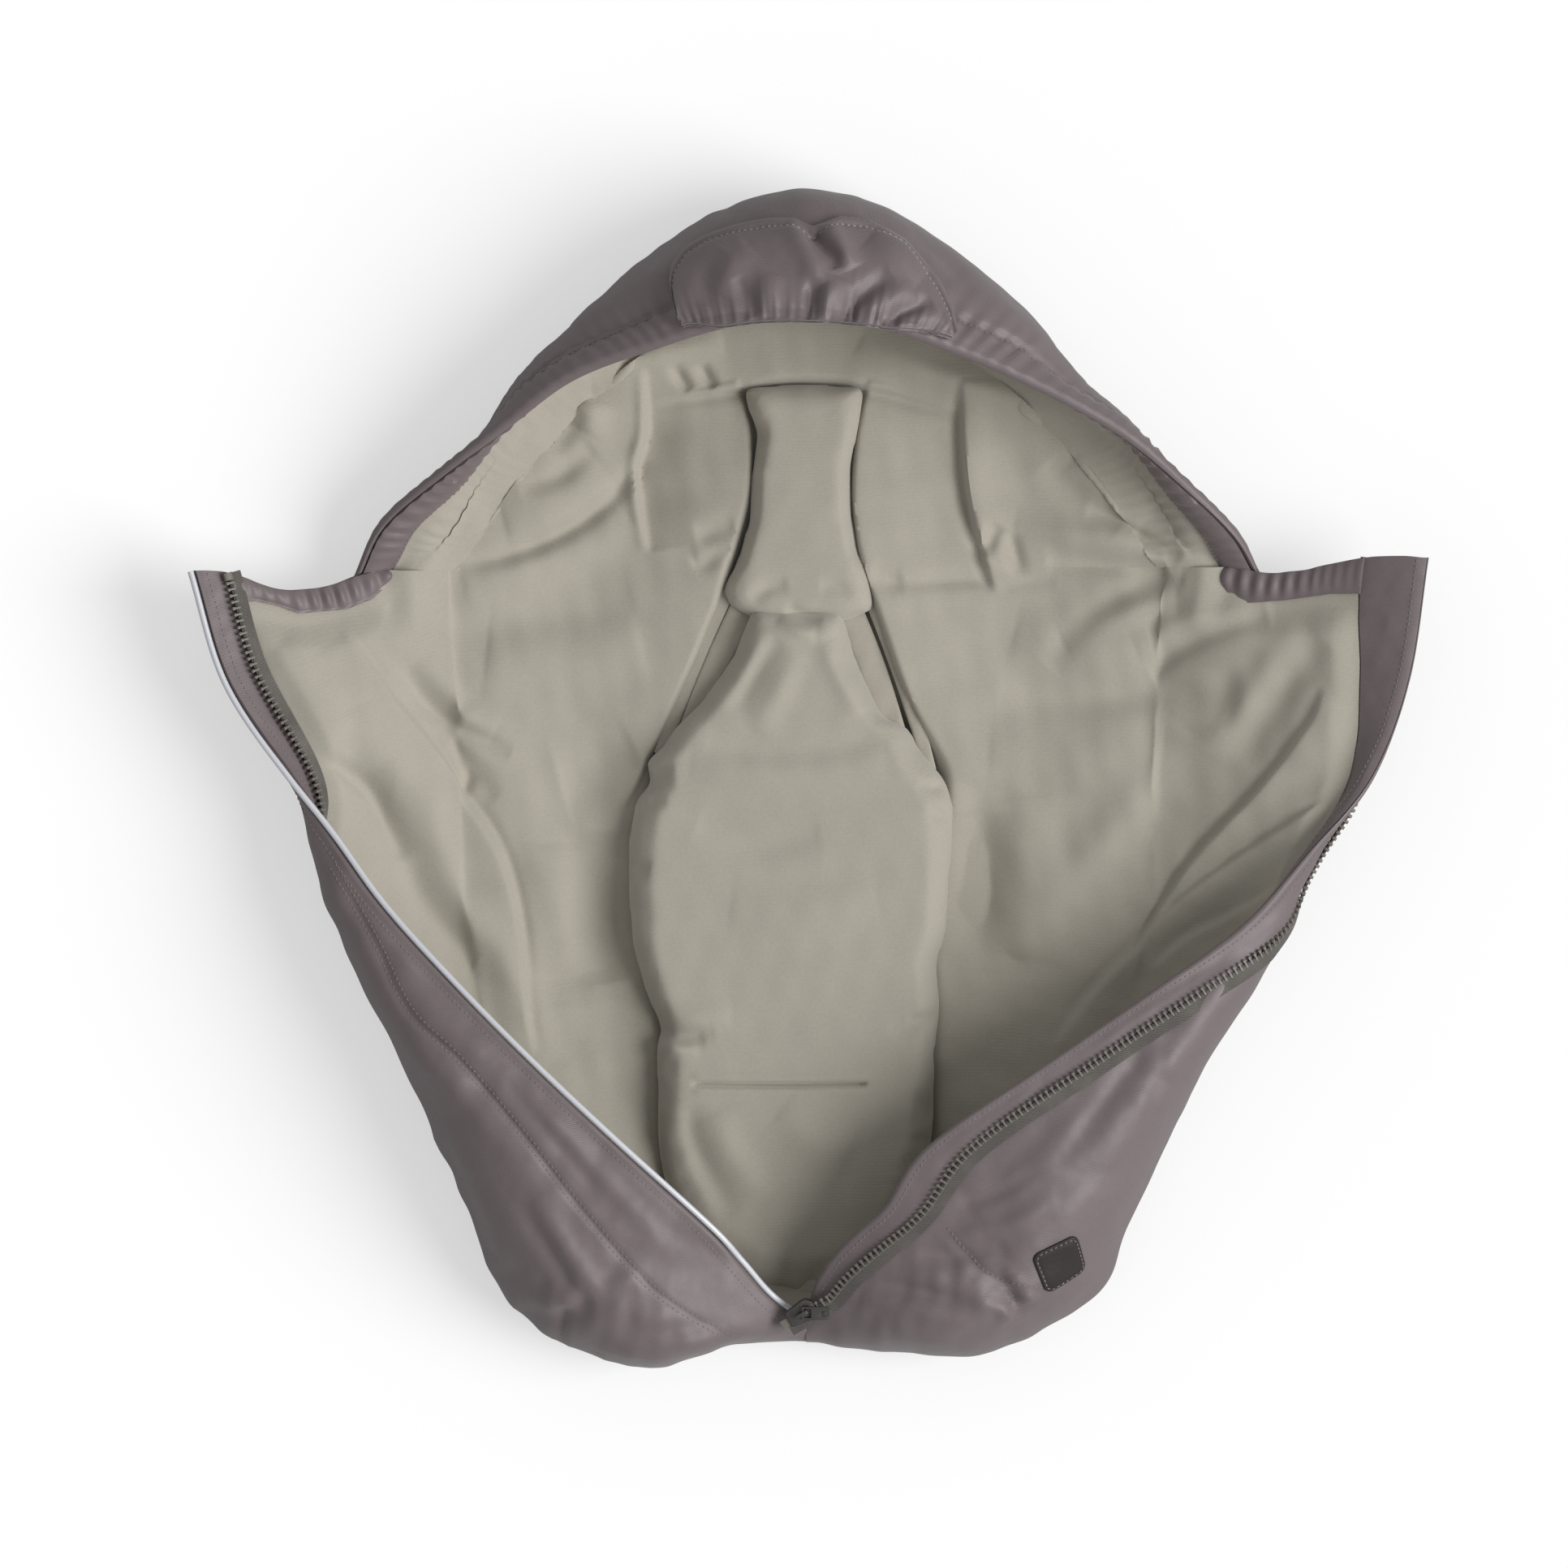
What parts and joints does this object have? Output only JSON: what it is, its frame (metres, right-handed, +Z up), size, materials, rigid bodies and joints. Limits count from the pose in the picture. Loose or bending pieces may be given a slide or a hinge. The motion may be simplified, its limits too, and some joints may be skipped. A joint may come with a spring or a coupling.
{
  "type": "car seat footmuff",
  "caption": "Quilted car seat footmuff with gathered hood, fold-back visor, harness slots and a front that zips open, lying flat on its back.",
  "frame": {"origin": "on the floor, under the middle of the opened muff", "axes": "+X across the muff, to the right in the view from above with the hood at the top; +Y from the foot to the hood; +Z up from the floor"},
  "size_m": [0.7639, 0.7187, 0.1312],
  "materials": {
    "shell_fabric": "woven taupe polyester with a soft sheen",
    "lining_fabric": "brushed sage-grey lining, quilted soft",
    "zip_tape": "woven grey-brown tape",
    "zip_teeth": "moulded grey-brown plastic",
    "slider_metal": "dark enamelled zinc",
    "reflective_piping": "silver reflective piping",
    "patch_leather": "dark grained leather, bare",
    "elastic": "knitted white elastic",
    "stiffener": "white felt interlining"
  },
  "bodies": {
    "muff": {"back_shell": "shell_fabric", "back_wadding": "lining_fabric", "foot_pad": "lining_fabric", "head_pad": "lining_fabric", "hood_casing": "shell_fabric", "hood_elastic": "elastic", "hood_lining": "lining_fabric", "hood_shell": "shell_fabric", "leather_patch": "patch_leather", "left_back_pad": "lining_fabric", "left_front_lining": "lining_fabric", "left_front_shell": "shell_fabric", "left_side_lining": "lining_fabric", "left_side_shell": "shell_fabric", "left_storm_flap": "shell_fabric", "left_zip_chain": "zip_teeth", "left_zip_tape": "zip_tape", "neck_pad": "lining_fabric", "reflective_piping": "reflective_piping", "right_back_pad": "lining_fabric", "right_front_lining": "lining_fabric", "right_front_shell": "shell_fabric", "right_side_lining": "lining_fabric", "right_side_shell": "shell_fabric", "right_wind_flap": "shell_fabric", "right_zip_chain": "zip_teeth", "right_zip_tape": "zip_tape", "seat_pad": "lining_fabric", "zip_bottom_stop": "zip_teeth"},
    "left_flap": {"left_flap_lining": "lining_fabric", "left_flap_piping": "reflective_piping", "left_flap_shell": "shell_fabric", "left_flap_storm_flap": "shell_fabric", "left_flap_top_facing": "shell_fabric", "left_flap_zip_chain": "zip_teeth", "left_flap_zip_tape": "zip_tape", "left_zip_top_stop": "zip_teeth"},
    "right_flap": {"right_flap_lining": "lining_fabric", "right_flap_shell": "shell_fabric", "right_flap_top_facing": "shell_fabric", "right_flap_wind_flap": "shell_fabric", "right_flap_zip_chain": "zip_teeth", "right_flap_zip_tape": "zip_tape", "right_zip_top_stop": "zip_teeth"},
    "visor": {"visor_facing": "shell_fabric", "visor_shell": "shell_fabric", "visor_stiffener": "stiffener"},
    "slider": {"zip_slider": "slider_metal"},
    "pull": {"zip_pull": "slider_metal"}
  },
  "joints": [
    {"name": "left_flap_fold", "type": "hinge", "parent": "muff", "child": "left_flap", "pos_m": [-0.2575, 0, 0.038], "axis": [0, 1, 0], "range_deg": [0, 60]},
    {"name": "right_flap_fold", "type": "hinge", "parent": "muff", "child": "right_flap", "pos_m": [0.2575, 0, 0.038], "axis": [0, -1, 0], "range_deg": [0, 60]},
    {"name": "visor_turn", "type": "hinge", "parent": "muff", "child": "visor", "pos_m": [0, 0.284, 0.136], "axis": [1, 0, 0], "range_deg": [0, 120]},
    {"name": "slider_slide", "type": "slide", "parent": "muff", "child": "slider", "axis": [0.8639, 0.4899, 0.1168], "range_m": [0, 0.007]},
    {"name": "pull_swing", "type": "hinge", "parent": "slider", "child": "pull", "pos_m": [-0.00229, -0.32857, 0.06912], "axis": [0.0038, -0.9807, -0.1956], "range_deg": [0, 120]}
  ]
}
